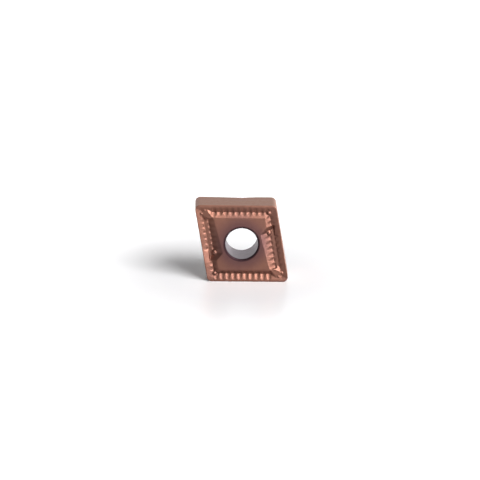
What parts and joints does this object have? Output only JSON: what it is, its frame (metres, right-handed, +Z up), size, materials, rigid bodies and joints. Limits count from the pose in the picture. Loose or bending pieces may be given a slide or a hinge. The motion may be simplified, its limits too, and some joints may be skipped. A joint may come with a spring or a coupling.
{
  "type": "carbide turning insert",
  "caption": "Rhombic double-sided turning insert in coated cemented carbide, with a plain centre hole and ribbed chip grooves round both faces.",
  "frame": {"origin": "on the surface the insert stands on, under the middle of its centre hole", "axes": "+Z up, out of the upper narrow side; +X to the right along the side it stands on; +Y through the hole, from the front face to the back face"},
  "size_m": [0.0148, 0.005, 0.0127],
  "materials": {
    "coated_carbide": "satin bronze-brown vapour-deposited coating, bare grey in the hole"
  },
  "bodies": {
    "root": {"carbide_insert": "coated_carbide"}
  },
  "joints": []
}
